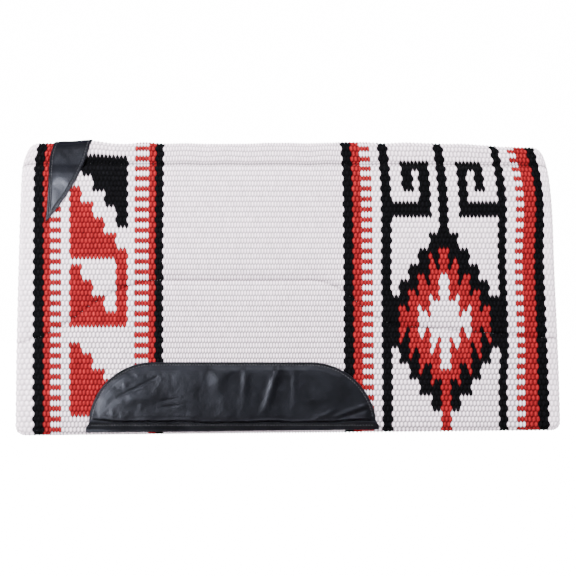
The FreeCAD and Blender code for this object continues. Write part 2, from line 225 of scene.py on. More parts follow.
# Cloth simulation of the slack
CLOTH_SETTINGS = {"quality": 5, "mass": 0.4, "tension_stiffness": 25, "compression_stiffness": 25,
                  "shear_stiffness": 12, "air_damping": 2, "vertex_group_mass": "held"}
DRAPE_TILT = math.radians(40)
DRAPE_FRAMES = 30
FIRST_UNEVENNESS = 0.25
COVER_LOW = (-HALF_LENGTH, SEAM_DEPTH)
COVER_HIGH = (HALF_LENGTH, HEM_DEPTH)
COVER_STEPS = (97, 51)
COVER_SLACK = 0.001
COVER_STIFFNESS = 2
COVER_SAG = 2.5
LEATHER_LOW = (WEAR_FRONT, WEAR_TOP)
LEATHER_HIGH = (WEAR_REAR, 479.5)
LEATHER_STEPS = (121, 31)
LEATHER_SLACK = 0.003
LEATHER_STIFFNESS = 6
LEATHER_SAG = 3.5
LEATHER_SOFTENING = 3
DRAPES = {}

# Folds in the wear leather: start, end, height (negative for a crease) and width
LEATHER_FOLDS = [
    ((-275, 425), (-211, 392), -1.3, 1.5),
    ((-262, 427), (-206, 427), 1.6, 8),
    ((-206, 431), (-178, 427), -1.1, 1.6),
    ((-206, 441), (-172, 437), -1.1, 1.6),
    ((-66, 364), (-70, 446), 1.3, 6.5),
    ((-10, 362), (-38, 450), 2.3, 6.5),
    ((11, 366), (9, 440), 1, 5),
    ((-120, 370), (-106, 424), 1.5, 12),
    ((74, 456), (128, 436), 2.2, 3.2),
    ((79, 461), (128, 444), -1.5, 2.4),
    ((78, 464), (104, 454), 1, 2.5),
    ((40, 461), (74, 446), 1.3, 3.5),
    ((26, 431), (60, 428), 0.7, 4),
]

# Lining and inserts
LINING_GRID = (221, 123)
LINING_CORNER = 14
LINING_INSET = EDGE_REACH - 1
LINING_LAP = 2.4
INSERT_GRID = (141, 31)
INSERT_MIDDLE = -3.6
INSERT_HALF_THICK = 4
UPPER_INSERT_FROM = 66
UPPER_INSERT_HALF = 401
LOWER_INSERT_TO = 470
LOWER_INSERT_HALF = 415
INSERT_GAP = 5

# Stitches: rows stop short of an end by their margin
STITCH_PITCH = 4.6
THREAD = 0.6
THREAD_POINTS = 8
THREAD_STATIONS = 7
STITCH_START = 0.14
STITCH_SPAN = 0.72
SPINE_MARGIN = 12
CONTOUR_MARGIN = 14
WITHERS_MARGIN = 12

# World brightness on matt faces from below and above, in reflections, and of the white behind and below
SHADE_LOW = 0.62
SHADE_HIGH = 1
SHADE_GLOSSY = 0.03
SHADE_WHITE = 16

# Lights in metres and watts: place, power and width
MATT_LIGHTS = [
    ((-0.7, -1.4, 2.4), 260, 0.6),
    ((-1.2, -2.6, 0.9), 40, 0.9),
    ((2, -0.6, 0.9), 30, 1.2),
    ((-2.1, -0.5, 0.8), 75, 1.2),
    ((0.3, 2, 1.8), 90, 1.4),
]
SHEEN = ((-0.75, -1.05, 0.45), 11.5, 0.3)
WITHERS_SHEEN = ((-0.65, -1.45, 0.54), 34, 1)
WITHERS_SHEEN_HEIGHT = 0.3
WEAR_SHEEN = ((0.1, -1.2, 1.35), 5, 0.4)
SHEEN_COLOUR = (0.80, 0.84, 1)
LIGHT_AIM = Vector((0, 0, 0.22))

# Floor and camera, in metres; the lens is in millimetres
FLOOR_HALF = 9
FLOOR_LEVEL = -0.004
FRAME_WIDTH = 0.929
CAMERA_HEIGHT = 0.2335
NEAR_FACE = -0.045
LENS = 200
CLIP_END = 60


def smooth(t):
    """An S curve from 0 to 1, level outside that range."""
    t = np.clip(t, 0, 1)
    return t * t * (3 - 2 * t)


def ramp_up(value, start, run):
    """0 before start, rising smoothly to 1 over the run."""
    return smooth((value - start) / run)


def bell(distance, width):
    """1 at no distance, falling away over the width."""
    return np.exp(-((distance / width) ** 2))


def arc_step(t):
    """A level-to-level S curve close to two equal arcs."""
    t = np.clip(t, 0, 1)
    return np.where(t < 0.5, 2 * t * t, 1 - 2 * (1 - t) ** 2)


def from_front(x):
    """Share of the way from the front end to the rear end."""
    return (x / HALF_LENGTH + 1) / 2


# The pad's shape
def along(x, s):
    """Place along the spine of cloth coordinate x: the rear leans in towards the fold and stripes bow."""
    t = np.clip(s / HEM_DEPTH, 0, 1)
    rear = REAR_SCALE - REAR_LEAN * (1 - t) ** 1.7
    front = FRONT_SCALE - FRONT_NARROWING * t
    share = smooth(from_front(x))
    placed = x * (front * (1 - share) + rear * share)
    edge_share = np.clip((-x - FRONT_STRIPE) / (HALF_LENGTH - FRONT_STRIPE), 0, 1)
    front_edge = (FRONT_EDGE_IN - FRONT_EDGE_OUT * (1 - t) ** 1.6) * edge_share
    corner_pull = CORNER_PULL * bell(s, 28) * ramp_up(-x, 340, 60)
    fold_pull = FOLD_PULL * np.exp(-s / 30) * ramp_up(x, 0, 60)
    upper_push = UPPER_PUSH * bell(s - 110, 80) * ramp_up(x, 120, 60)
    rear_push = REAR_PUSH * bell(s - 92, 72) * ramp_up(x, 320, 60) * (1 - ramp_up(x, 400, 32))
    lower_pull = LOWER_PULL * ramp_up(s, 330, 80) * bell(x - 340, 45)
    return placed - front_edge + corner_pull - fold_pull + upper_push + rear_push - lower_pull


def contour_depth(x):
    """Depth of the contour seam at each x."""
    x = np.asarray(x, float)
    front = FRONT_DROP * arc_step((-200 - x) / 270)
    rear = REAR_DROP * arc_step((x - 35) / 155) + REAR_SLOPE * np.maximum(x - 190, 0)
    return CONTOUR_LEVEL + front + rear


def fold_sink(x, s):
    """How far the fold drops at its rounded ends and where its rear end has rolled over."""
    short = np.maximum(END_ROUND - (HALF_LENGTH - np.abs(x)), 0)
    rounding = END_ROUND - np.sqrt(np.maximum(END_ROUND * END_ROUND - np.minimum(short, END_ROUND) ** 2, 0))
    rear = REAR_ROLL * ramp_up(x, 200, 220)
    leather_ridge = LEATHER_RIDGE * bell(x + 316, 20)
    waves = FOLD_WAVES * relief_noise(SEED + 31, 34, x, s)
    return (ROUND_SHARE * rounding + rear - leather_ridge + waves) * bell(s, SINK_REACH)


def hem_depth(x):
    """Depth of the hem, which rises a little towards the rear."""
    return HEM_DEPTH - HEM_RISE * np.clip(from_front(x), 0, 1)


def dips(distance, parts):
    """Depth of a stitched valley at a distance from its seam."""
    return sum(depth * bell(distance, width) for depth, width in parts)


def spine_dimple(s):
    """How far the spine seam pulls the cover in."""
    return dips(s - SEAM_DEPTH, SPINE_DIPS)


def swell_below(s, height):
    """A layer's filling out below the spine seam, up to its full height."""
    return height * (1 - np.exp(-np.maximum(s - SEAM_DEPTH, 0) / SWELL_RUN))


def top_offset(side, x, s):
    """Outward offset of the cover's middle surface."""
    below = np.maximum(s - SEAM_DEPTH, 0)
    seam = contour_depth(x)
    upper = UPPER_CROWN * np.sin(np.pi * np.clip((s - SEAM_DEPTH) / (seam - SEAM_DEPTH), 0, 1))
    lower = LOWER_CROWN * np.sin(np.pi * np.clip((s - seam) / (HEM_DEPTH - seam), 0, 1))
    wander = WIDE_WANDER * np.sin(x / 61 + s / 97) * np.sin(s / 73 + 1.3)
    wander = wander + FINE_WANDER * np.sin(x / 37 - s / 49)
    sag = sample(DRAPES["cover", side], COVER_LOW, COVER_HIGH, x, s) * smooth(below / 10)
    offset = swell_below(s, SWELL) - dips(s - seam, CONTOUR_DIPS) + upper + lower - spine_dimple(s)
    return offset + wander * smooth(below / 40) + sag


def bottom_offset(s):
    """Outward offset of the lining's outer face."""
    return -PLY - swell_below(s, LINING_SWELL)


def cover_face(side, x, s):
    """Outward offset of the tops of the yarn."""
    return top_offset(side, x, s) + YARN_TOP * FLOAT_HEIGHT


def groove_face(side, x, s):
    """Where seam threads lie, sunk between the yarns."""
    return cover_face(side, x, s) - THREAD_SINK


def on_pad(side, x, s, e):
    """Place points at x, depth s and outward offset e; returns an array of positions."""
    arc = np.clip(s, 0, FOLD_RADIUS * ARC_END) / FOLD_RADIUS
    leg = np.maximum(s - FOLD_RADIUS * ARC_END, 0)
    turn = np.minimum(arc, ARC_END)
    out = FOLD_RADIUS * np.sin(arc) + leg * math.sin(TILT) + e * np.sin(turn)
    z = FOLD_TOP - FOLD_RADIUS * (1 - np.cos(arc)) - leg * math.cos(TILT) + e * np.cos(turn)
    z = z - fold_sink(x, s)
    return np.stack([along(x, s), -side * out, z], axis=-1)


def corner_angle(dx, ds):
    """Angle round a corner of a point that lies dx and ds beyond its centre, and its reach from there."""
    reach = np.maximum(dx, ds)
    ratio = np.minimum(dx, ds) / np.maximum(reach, 1e-9)
    return np.where(dx >= ds, ratio * math.pi / 4, math.pi / 2 - ratio * math.pi / 4), reach


def rounded_sheet(u, v):
    """Map cloth coordinates to the pad's plane with round hem corners and rolled edges.

    Returns x, depth, the roll angle, which is a right angle on the face and negative beneath, the outward
    direction in the plane and whether the point lies in the rolled edge.
    """
    half = CLOTH_HALF
    depth = hem_depth(u) + END_ARC - EDGE_REACH
    dx = np.maximum(np.abs(u) - (half - CORNER), 0)
    dv = np.maximum(v - (depth - CORNER), 0)
    angle, reach = corner_angle(dx, dv)
    inside = CORNER - reach
    roll = np.clip(inside, -END_ARC, END_ARC) / EDGE_REACH
    inset = np.where(np.abs(inside) < END_ARC, EDGE_REACH * (1 - np.cos(roll)),
                     EDGE_REACH + np.abs(inside) - END_ARC)
    on_edge = reach > 0
    radial = CORNER - inset - (END_ARC - EDGE_REACH)
    x = np.where(on_edge & (dx > 0), np.sign(u) * (half - CORNER + radial * np.cos(angle)), u)
    s = np.where(on_edge & (dv > 0), depth - CORNER + radial * np.sin(angle), v)
    out_x = np.where(on_edge, np.sign(u) * np.cos(angle), 0)
    out_s = np.where(on_edge, np.sin(angle), 0)
    return x, s, roll, out_x, out_s, on_edge


# Meshes
def grid_faces(rows, columns):
    """Quads over a grid of rows by columns of points."""
    first = np.arange(rows - 1)[:, None] * columns + np.arange(columns - 1)[None, :]
    quads = np.stack([first, first + columns, first + columns + 1, first + 1], axis=-1)
    return quads.reshape(-1, 4)


def make_mesh(name, points, quads, flip):
    """A smooth mesh object; flip turns its faces over."""
    if flip:
        quads = quads[:, ::-1]
    mesh = bpy.data.meshes.new(name)
    mesh.from_pydata(points.reshape(-1, 3) * MM, [], quads)
    mesh.update()
    mesh.polygons.foreach_set("use_smooth", np.ones(len(quads), bool))
    piece = bpy.data.objects.new(name, mesh)
    bpy.context.scene.collection.objects.link(piece)
    return piece


def closed_shell(name, top, bottom, flip):
    """A closed sheet from two grids of points, joined round their rims."""
    rows, columns = top.shape[:2]
    count = rows * columns
    upper = grid_faces(rows, columns)
    lower = upper[:, ::-1] + count
    number = np.arange(count).reshape(rows, columns)
    index = np.concatenate([number[0], number[1:, -1], number[-1, -2::-1], number[-2:0:-1, 0]])
    following = np.roll(index, -1)
    rim = np.stack([following, index, index + count, following + count], axis=-1)
    quads = np.concatenate([upper, lower, rim[:, ::-1]])
    points = np.concatenate([top.reshape(-1, 3), bottom.reshape(-1, 3)])
    return make_mesh(name, points, quads, flip)


def sheet_grid(grid, low, high):
    """Even grid coordinates between two corners."""
    columns, rows = grid
    return np.meshgrid(np.linspace(low[0], high[0], columns), np.linspace(low[1], high[1], rows))


def crowd_ends(t, share):
    """Crowd grid lines towards both ends of the unit range."""
    return t - share * np.sin(2 * np.pi * t) * 3


# Unevenness and slack
def sample(grid, low, high, x, s):
    """Read a grid of values at (x, depth) places between its corners."""
    rows, columns = grid.shape
    across = np.clip((x - low[0]) / (high[0] - low[0]), 0, 1) * (columns - 1)
    down = np.clip((s - low[1]) / (high[1] - low[1]), 0, 1) * (rows - 1)
    left = np.minimum(across.astype(int), columns - 2)
    upper = np.minimum(down.astype(int), rows - 2)
    p = smooth(across - left)
    q = smooth(down - upper)
    first = grid[upper, left] * (1 - p) + grid[upper, left + 1] * p
    second = grid[upper + 1, left] * (1 - p) + grid[upper + 1, left + 1] * p
    return first * (1 - q) + second * q


def relief_noise(seed, cell, x, s):
    """Smooth seeded unevenness with bumps about one cell wide."""
    shape = (int(HEM_DEPTH / cell) + 2, int(2 * HALF_LENGTH / cell) + 2)
    grid = np.random.default_rng(seed).normal(0, 1, shape)
    return sample(grid, (-HALF_LENGTH, 0), (HALF_LENGTH, HEM_DEPTH), x, s)


def layered_noise(layers, side, x, s):
    """Unevenness summed from layers of (height, seed step, cell)."""
    return sum(height * relief_noise(SEED + step + side, cell, x, s) for height, step, cell in layers)


def soften(grid, passes):
    """Average a grid with its neighbours, so that only its broad folds are left."""
    for _ in range(passes):
        for axis in (0, 1):
            wide = np.pad(grid, [(1, 1) if k == axis else (0, 0) for k in (0, 1)], mode="edge")
            count = grid.shape[axis]
            parts = [np.take(wide, np.arange(count) + k, axis=axis) for k in (0, 1, 2)]
            grid = 0.25 * parts[0] + 0.5 * parts[1] + 0.25 * parts[2]
    return grid


def cover_held(x, s):
    """The cover is sewn at the spine, along the contour and at its edges."""
    seam = np.abs(s - contour_depth(x)) < 6
    edge = (s <= SEAM_DEPTH + 2) | (s >= HEM_DEPTH - 14) | (np.abs(x) >= HALF_LENGTH - 12)
    return (seam | edge).astype(float)


def arch_inset(x, s):
    """Distance inward from the arched outline of the wear leather."""
    corner_x = np.clip(x, WEAR_FRONT + WEAR_RADIUS, WEAR_REAR - WEAR_RADIUS)
    corner_s = np.maximum(s, WEAR_TOP + WEAR_RADIUS)
    return WEAR_RADIUS - np.hypot(x - corner_x, s - corner_s)


def leather_held(x, s):
    """The wear leather is sewn round its arch and along its hem."""
    return ((arch_inset(x, s) < 7) | (s > TUCK_DEPTH - 1)).astype(float)


def add_cloth(sheet, hold, slack, stiffness):
    """Make a sheet into cloth that is pinned by its hold."""
    group = sheet.vertex_groups.new(name="held")
    for index, weight in enumerate(hold.ravel()):
        if weight > 0:
            group.add([index], float(weight), "REPLACE")
    cloth = sheet.modifiers.new("cloth", "CLOTH")
    for name, value in CLOTH_SETTINGS.items():
        setattr(cloth.settings, name, value)
    cloth.settings.bending_stiffness = stiffness
    cloth.settings.shrink_min = -slack
    cloth.point_cache.frame_start = 1
    cloth.point_cache.frame_end = DRAPE_FRAMES


def drape(seed, low, high, steps, held, slack, stiffness):
    """Let a flat sheet sag between the points where it is held.

    low and high are its (x, depth) corners. held gives the hold of each point from 0 to 1. stiffness is
    its resistance to bending. Returns the outward sag on the sheet's grid.
    """
    columns, rows = steps
    x, s = sheet_grid(steps, low, high)
    hold = held(x, s)
    start = np.random.default_rng(seed).normal(0, FIRST_UNEVENNESS, x.shape) * (1 - hold)
    outward = np.array([0, -math.sin(DRAPE_TILT), -math.cos(DRAPE_TILT)])
    flat = np.stack([x, s * math.cos(DRAPE_TILT), -s * math.sin(DRAPE_TILT)], axis=-1)
    sheet = make_mesh("drape", flat + start[..., None] * outward, grid_faces(rows, columns), False)
    add_cloth(sheet, hold, slack, stiffness)
    scene = bpy.context.scene
    for frame_number in range(1, DRAPE_FRAMES + 1):
        scene.frame_set(frame_number)
    shape = sheet.evaluated_get(bpy.context.evaluated_depsgraph_get())
    moved = np.empty(columns * rows * 3)
    shape.data.vertices.foreach_get("co", moved)
    moved = moved.reshape(rows, columns, 3) / MM
    scene.frame_set(1)
    bpy.data.objects.remove(sheet)
    return (moved - flat) @ outward


def make_drapes():
    for side in (NEAR, OFF):
        cover = drape(SEED + side, COVER_LOW, COVER_HIGH, COVER_STEPS, cover_held,
                      COVER_SLACK, COVER_STIFFNESS)
        leather = drape(SEED + 10 + side, LEATHER_LOW, LEATHER_HIGH, LEATHER_STEPS, leather_held,
                        LEATHER_SLACK, LEATHER_STIFFNESS)
        leather = soften(leather, LEATHER_SOFTENING)
        DRAPES["cover", side] = COVER_SAG * np.tanh(cover / COVER_SAG)
        DRAPES["leather", side] = LEATHER_SAG * np.tanh(leather / LEATHER_SAG)


# Pattern
def stripe_spans():
    """All the lengthwise stripes as (start, end, colour)."""
    spans = []
    for start, run in STRIPE_RUNS:
        place = start
        for colour, width in run:
            spans.append((place, place + width, colour))
            place += width
    return spans


SPANS = stripe_spans()


def stripe_at(x):
    """Colour of the stripe at x, or None between the stripes."""
    for low, high, colour in SPANS:
        if low <= x < high:
            return colour
    return None


def is_check(places):
    """Whether each place lies in one of the checked stripes."""
    return np.array([stripe_at(x) == "check" for x in places])


def pick_edges():
    """Nominal boundaries of the weft strips from front to rear."""
    end = CLOTH_HALF + END_ARC + TURN_UNDER
    edges = [-end]
    while edges[-1] < end:
        x = edges[-1]
        if FINE_FROM < x < FINE_TO:
            step = PICK_FINE
        else:
            step = PICK_CHECK if stripe_at(x) == "check" else PICK_WIDE
        edges.append(x + step)
    return np.array(edges)


def figure_colour(x, rib):
    """The stepped figures in the front column."""
    block = int((x - FIGURES_FROM) // FIGURE_BLOCK)
    for first, last, upper, upper_step, lower, lower_step, colour in FIGURES:
        if first <= block <= last and upper + upper_step * block <= rib <= lower + lower_step * block:
            return colour
    return None


def stem_colour(up, above):
    """The middle column of the diamond and its stems, at a height from its centre."""
    if up <= WHITE_STEM:
        return "white"
    if above and up > RED_STEM:
        return "black"
    return "red"


def diamond_colour(x, rib):
    """The stepped diamond with its stems."""
    across = abs(x - DIAMOND_X)
    up = abs(rib - DIAMOND_RIB)
    if across < DIAMOND_STEM:
        return stem_colour(up, rib < DIAMOND_RIB)
    block = int((across - DIAMOND_STEM) // DIAMOND_BLOCK) + 1
    share = (across - DIAMOND_STEM) / DIAMOND_BLOCK - (block - 1)
    if block in WHITE_SPIKES:
        base, growth = WHITE_SPIKES[block]
        if up <= base + growth * share:
            return "white"
    if block <= 4 and up <= RED_REACH - RIBS_A_BLOCK * block + RIBS_A_BLOCK * share:
        return "red"
    if block <= 5 and up <= BLACK_REACH - RIBS_A_BLOCK * block:
        return "black"
    return None


def key_colour(x, rib):
    """The two square hooks beside the upper stem."""
    for x_low, x_high, rib_low, rib_high in KEY_BARS:
        if x_low <= x <= x_high and rib_low <= rib <= rib_high:
            return "black"
    return None


def wool_colour(x, rib):
    """Colour of the float centred at x on a rib."""
    stripe = stripe_at(x)
    if stripe == "check":
        return "red" if rib % 2 == 0 else "white"
    if stripe:
        return stripe
    if FIGURES_FROM <= x < FIGURES_TO:
        return figure_colour(x, rib) or "white"
    if REAR_COLUMN_FROM <= x <= REAR_COLUMN_TO:
        return key_colour(x, rib) or diamond_colour(x, rib) or "white"
    return "white"


# Woven cover
def weave_grid(depth_end):
    """Cloth coordinates, relief and strip boundaries of the weave.

    Weft strips run down the pad and swell over every second rib; neighbours swell in between.
    """
    edges = pick_edges()
    strips = len(edges) - 1
    ribs = int(depth_end / RIB) + 1
    y = (np.arange(ribs)[:, None] + ROW_PLACES[None, :]).ravel()
    turn = np.cos(np.pi * y)
    heading = np.sign(np.round(turn, 6))
    power = np.where(is_check(edges), CHECK_POWER, FLOAT_POWER)
    wave = heading[:, None] * np.abs(turn)[:, None] ** power[None, :]
    rise = heading * np.abs(turn) ** RISE_POWER
    sign = np.where(np.arange(strips + 1) % 2 == 0, 1, -1)
    pick = np.append(np.diff(edges), PICK_WIDE)
    bounds = edges[None, :] - EDGE_WAVE * pick[None, :] * sign[None, :] * wave
    groove = -RIB_GROOVE * (1 - np.abs(rise))
    u_columns = []
    height_columns = []
    for j in range(strips):
        over = np.maximum(sign[j] * rise, 0)
        under = np.where(over > 0, 0, UNDER_DIP * np.abs(rise))
        for k in range(COLUMNS):
            share = k / COLUMNS
            across = 2 * share - 1
            u_columns.append(bounds[:, j] * (1 - share) + bounds[:, j + 1] * share)
            height_columns.append(groove + (FLOAT_HEIGHT * over - under) * (1 - across * across))
    u_columns.append(bounds[:, strips])
    height_columns.append(groove)
    return edges, y, np.stack(u_columns, axis=1), np.stack(height_columns, axis=1)


def dyed_floats(middle_x, ribs):
    """A colour for each float, rib by strip, with the uneven take of the dye."""
    shade = np.random.default_rng(SEED).normal(1, DYE_SPREAD, (ribs, len(middle_x)))
    shade = np.clip(shade, 0.75, 1.25)
    table = np.zeros((ribs, len(middle_x), 3))
    for i in range(ribs):
        for j, x in enumerate(middle_x):
            name = wool_colour(x, i)
            take = WHITE_DYE_SHARE if name == "white" else 1
            table[i, j] = np.array(WOOL[name]) * (1 + take * (shade[i, j] - 1))
    return table


def float_colours(edges, y, depth_end):
    """One colour per face, from the float that the face belongs to."""
    strips = len(edges) - 1
    middle_u = 0.5 * (edges[:-1] + edges[1:])
    middle_x = rounded_sheet(middle_u, np.zeros_like(middle_u))[0]
    middle_x = np.where(np.abs(middle_u) > CLOTH_HALF, np.sign(middle_u) * (HALF_LENGTH + 1), middle_x)
    ribs = int(depth_end / RIB) + 3
    table = dyed_floats(middle_x, ribs)
    face_y = 0.5 * (y[:-1] + y[1:])
    strip = np.repeat(np.arange(strips), COLUMNS)
    parity = strip % 2
    rib = 2 * np.round((face_y[:, None] - parity[None, :]) / 2) + parity[None, :]
    rib = np.clip(np.abs(rib), 0, ribs - 1).astype(int)
    level = np.repeat(np.clip(np.round(face_y), 0, ribs - 1).astype(int)[:, None], len(strip), axis=1)
    checked = np.repeat(is_check(middle_u), COLUMNS)
    hidden = (level % 2 != parity[None, :]) & (np.abs(face_y[:, None] - level) < 0.3) & checked[None, :]
    neighbour = np.minimum(strip + 1, strips - 1)[None, :]
    return np.where(hidden[..., None], table[level, neighbour], table[rib, strip[None, :]]).reshape(-1, 3)


def seam_shade(x, s):
    """How much light is left in the valleys of the two seams."""
    contour, contour_width = CONTOUR_SHADE
    spine, spine_width = SPINE_SHADE
    shade = 1 - contour * bell(s - contour_depth(x), contour_width)
    return shade * (1 - spine * bell(s - SEAM_DEPTH, spine_width))


def paint_cover(piece, colours, quads, ordered, height, x, s):
    """Store the wool's colour at each face corner, with shade painted into the hollows between floats and
    along the seams.
    """
    # Painted shade: the colour darkens where the yarn lies low, in the hollows between floats.
    lit = np.clip((height.reshape(-1) + RIB_GROOVE) / (FLOAT_HEIGHT + RIB_GROOVE), 0, 1)
    hollow_shade = 1 - smooth(lit * HOLLOW_SHADE_FALL)
    # On white wool the painted shade grows stronger down the flap and weaker at the rolled ends; other
    # colours get one fixed strength.
    white = WHITE_HOLLOW_SHADE + LOW_HOLLOW_SHADE * ramp_up(s, 120, 240)
    white = white - END_HOLLOW_SHADE * ramp_up(np.abs(x), 396, 16)
    strength = np.where(colours[:, 1] > WHITE_LEVEL, white.reshape(-1)[quads[:, 0]], DARK_HOLLOW_SHADE)
    corner = colours[:, None, :] * (1 - strength[:, None] * hollow_shade[ordered])[:, :, None]
    # Painted shade along the spine and contour seams.
    corner = corner * seam_shade(x, s).reshape(-1)[ordered][:, :, None]
    corner = np.concatenate([corner, np.ones(corner.shape[:2] + (1,))], axis=2)
    layer = piece.data.color_attributes.new("wool", "FLOAT_COLOR", "CORNER")
    layer.data.foreach_set("color", corner.astype(np.float32).ravel())


def build_cover(side):
    """The woven cover of one half, from the fold's top to its turned hem."""
    depth_end = HEM_DEPTH + 2 * END_ARC - EDGE_REACH + TURN_UNDER
    edges, y, u, height = weave_grid(depth_end)
    v = np.repeat(y[:, None] * RIB, u.shape[1], axis=1)
    relief = height - 0.5 * FLOAT_HEIGHT
    relief = relief * (1 - HEM_FLATTENING * ramp_up(np.abs(u), CLOTH_HALF - 16, 12))
    x, s, roll, out_x, out_s, on_edge = rounded_sheet(u, v)
    top = top_offset(side, x, s)
    bottom = bottom_offset(s)
    roll = np.where(on_edge, roll, math.pi / 2)
    e = (top + bottom) / 2 + ((top - bottom) / 2 + relief) * np.sin(roll)
    side_shift = relief * np.cos(roll)
    points = on_pad(side, x + out_x * side_shift, s + out_s * side_shift, e)
    quads = grid_faces(*u.shape)
    piece = make_mesh(f"{SIDE_NAMES[side]}_cover_weave", points, quads, side == NEAR)
    ordered = quads[:, ::-1] if side == NEAR else quads
    paint_cover(piece, float_colours(edges, y, depth_end), quads, ordered, height, x, s)
    return piece


# Leathers
def segment_share(x, s, start, end):
    """Distance from a segment and the place along it, from 0 to 1."""
    run = np.array(end) - np.array(start)
    length = np.hypot(*run)
    place = np.clip(((x - start[0]) * run[0] + (s - start[1]) * run[1]) / length ** 2, 0, 1)
    away = np.hypot(x - start[0] - place * run[0], s - start[1] - place * run[1])
    return away, place


def wear_outline_map(a, b):
    """Map a unit square to the wear leather: round upper corners, and offset curves near its edge."""
    width = WEAR_REAR - WEAR_FRONT
    depth = WEAR_BOTTOM - WEAR_TOP
    x = WEAR_FRONT + a * width
    s = WEAR_TOP + b * depth
    ahead = x < 0.5 * (WEAR_FRONT + WEAR_REAR)
    corner_x = np.where(ahead, WEAR_FRONT + WEAR_RADIUS, WEAR_REAR - WEAR_RADIUS)
    outward = np.where(ahead, -1, 1)
    dx = np.maximum((x - corner_x) * outward, 0)
    ds = np.maximum(WEAR_TOP + WEAR_RADIUS - s, 0)
    angle, reach = corner_angle(dx, ds)
    both = (dx > 0) & (ds > 0)
    new_x = np.where(both, corner_x + outward * reach * np.cos(angle), x)
    new_s = np.where(both, WEAR_TOP + WEAR_RADIUS - reach * np.sin(angle), s)
    edge = np.minimum(WEAR_RADIUS - reach, np.minimum(x - WEAR_FRONT, WEAR_REAR - x))
    edge = np.minimum(edge, s - WEAR_TOP)
    edge = np.where(both, WEAR_RADIUS - reach, edge)
    band = ramp_up(new_s, TUCK_DEPTH, 12)
    share = (new_x - WEAR_FRONT) / width
    new_x = new_x + WEAR_FLARE * (2 * share - 1) * band
    new_s = new_s - WEAR_RISE * share * ramp_up(new_s, 420, 50)
    return new_x, new_s, edge


def tuck_line(x):
    """Depth of the tuck along the hem of the wear leather."""
    middle = np.sin(np.pi * np.clip((x - WEAR_FRONT) / (WEAR_REAR - WEAR_FRONT), 0, 1))
    return TUCK_DEPTH - 3 * (1 - middle) + 0.9 * np.sin(x / 23) + 0.5 * np.sin(x / 11 + 1)


def wear_height(side, x, s, edge):
    """How far the wear leather's face stands off the cover: slack, folds and the tuck at its hem."""
    tuck = tuck_line(x)
    end_fade = smooth((x - WEAR_FRONT - 3) / 16) * smooth((WEAR_REAR - x - 3) / 16)
    above = TUCK_ROLL * np.exp(-np.maximum(tuck - s, 0) / 9) * smooth((tuck + 1.6 - s) / 3) * end_fade
    band = HEM_BAND * smooth((s - tuck - 1.4) / 2.2) * (1 - 0.9 * np.clip((s - tuck - 3) / 12, 0, 1))
    sag = sample(DRAPES["leather", side], LEATHER_LOW, LEATHER_HIGH, x, s)
    free = ramp_up(edge, 5, 9) * smooth((tuck - s) / 9)
    height = LEATHER + above + band + sag * free
    for start, end, lift, width in LEATHER_FOLDS:
        away, place = segment_share(x, s, start, end)
        height = height + lift * bell(away, width) * (0.3 + 0.7 * np.sin(np.pi * place))
    creased = 0.9 + 0.3 * smooth((-190 - x) / 60)
    uneven = layered_noise(WEAR_NOISE, side, x, s)
    height = height + creased * uneven * ramp_up(edge, 4, 9) * smooth((tuck - s) / 6)
    stitch_dip = 0.7 * bell(edge - STITCH_INSET, 1.6) * (s < tuck)
    lower_dip = 0.8 * bell(s - LOWER_ROW, 1.6)
    rim = np.sqrt(np.clip(edge / RIM, 0, 1))
    return np.maximum(height - stitch_dip - lower_dip, 1) * rim


def build_wear_leather(side):
    """Soft leather over the lower middle of the flap."""
    a, b = sheet_grid(WEAR_GRID, (0, 0), (1, 1))
    x, s, edge = wear_outline_map(crowd_ends(a, 0.006), crowd_ends(b, 0.02))
    rest = cover_face(side, x, s)
    top = on_pad(side, x, s, rest + wear_height(side, x, s, edge))
    bottom = on_pad(side, x, s, rest - SKIN_UNDER)
    return closed_shell(f"{SIDE_NAMES[side]}_wear_leather_skin", top, bottom, side == NEAR)


def withers_edges(s):
    """Front and rear x of the withers leather at each depth."""
    t = np.clip(s / WITHERS_TIP, 0, 1)
    front = WITHERS_FRONT - 3.6 * np.clip(s / 30, 0, 1) ** 0.8 - 2 * t - 4 * t ** 4
    rear = WITHERS_REAR - 73.5 * (0.42 * t + 0.58 * t ** 2.1)
    return front, np.maximum(rear, front + 1)


def withers_rest(side, x, s):
    """Offset that the withers leather's face is built up from; it spans the valley of the spine seam."""
    smoothed = SWELL * ramp_up(s, 6, 60)
    return cover_face(side, x, s) + spine_dimple(s) + smoothed - swell_below(s, SWELL)


def build_withers_leather(side):
    """One half of the leather over the front of the fold."""
    a, b = sheet_grid(WITHERS_GRID, (0, 0), (1, 1))
    s = b * WITHERS_TIP
    front, rear = withers_edges(s)
    x = front + (rear - front) * crowd_ends(a, 0.02)
    edge = np.minimum(np.minimum(x - front, rear - x), WITHERS_TIP - s)
    height = LEATHER + 0.8 * ramp_up(edge, 4, 12) - 0.7 * bell(edge - STITCH_INSET, 1.5)
    height = height + layered_noise(WITHERS_NOISE, side, x, s) * ramp_up(edge, 3, 8)
    height = height * np.sqrt(np.clip(edge / RIM, 0, 1))
    top = on_pad(side, x, s, withers_rest(side, x, s) + height)
    bottom = on_pad(side, x, s, cover_face(side, x, s) - SKIN_UNDER)
    return closed_shell(f"{SIDE_NAMES[side]}_withers_leather_skin", top, bottom, side == NEAR)


